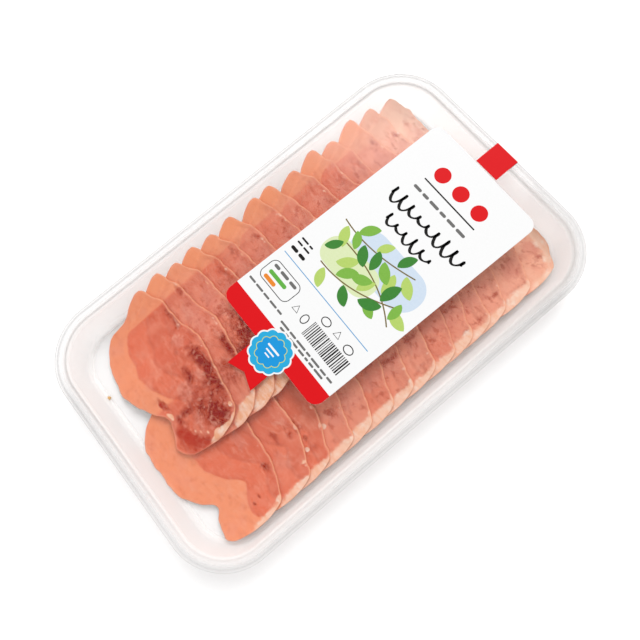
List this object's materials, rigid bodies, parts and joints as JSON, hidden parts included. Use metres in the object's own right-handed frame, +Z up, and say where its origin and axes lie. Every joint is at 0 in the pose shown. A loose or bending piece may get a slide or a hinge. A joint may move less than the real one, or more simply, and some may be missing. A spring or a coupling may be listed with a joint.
{
  "type": "prosciutto pack",
  "caption": "Sealed clear tray of thinly sliced prosciutto in shingled rows under a clear film, with a paper label, round seal, ribbon tail and red strap on the lid.",
  "frame": {"origin": "on the ground under the middle of the tray", "axes": "+Z up, +Y along the pack towards the head of the label, +X across the pack towards the front row of slices"},
  "size_m": [0.134, 0.2202, 0.0157],
  "materials": {
    "clear_tray": "clear thermoformed sheet, glossy",
    "clear_film": "clear lidding film, glossy",
    "white_paper": "coated label paper, satin",
    "red_paper": "printed label paper, satin",
    "blue_paper": "printed label paper, satin",
    "cured_ham": "moist cured meat, soft sheen"
  },
  "bodies": {
    "root": {"tray": "clear_tray", "lid_film": "clear_film", "label": "white_paper", "ribbon": "red_paper", "seal": "blue_paper", "strap": "red_paper", "slice_back_01": "cured_ham", "slice_back_02": "cured_ham", "slice_back_03": "cured_ham", "slice_back_04": "cured_ham", "slice_back_05": "cured_ham", "slice_back_06": "cured_ham", "slice_back_07": "cured_ham", "slice_back_08": "cured_ham", "slice_back_09": "cured_ham", "slice_back_10": "cured_ham", "slice_back_11": "cured_ham", "slice_back_12": "cured_ham", "slice_back_13": "cured_ham", "slice_back_14": "cured_ham", "slice_front_01": "cured_ham", "slice_front_02": "cured_ham", "slice_front_03": "cured_ham", "slice_front_04": "cured_ham", "slice_front_05": "cured_ham", "slice_front_06": "cured_ham", "slice_front_07": "cured_ham", "slice_front_08": "cured_ham", "slice_front_09": "cured_ham", "slice_front_10": "cured_ham", "slice_front_11": "cured_ham", "slice_front_12": "cured_ham", "slice_front_13": "cured_ham", "slice_front_14": "cured_ham"}
  },
  "joints": []
}
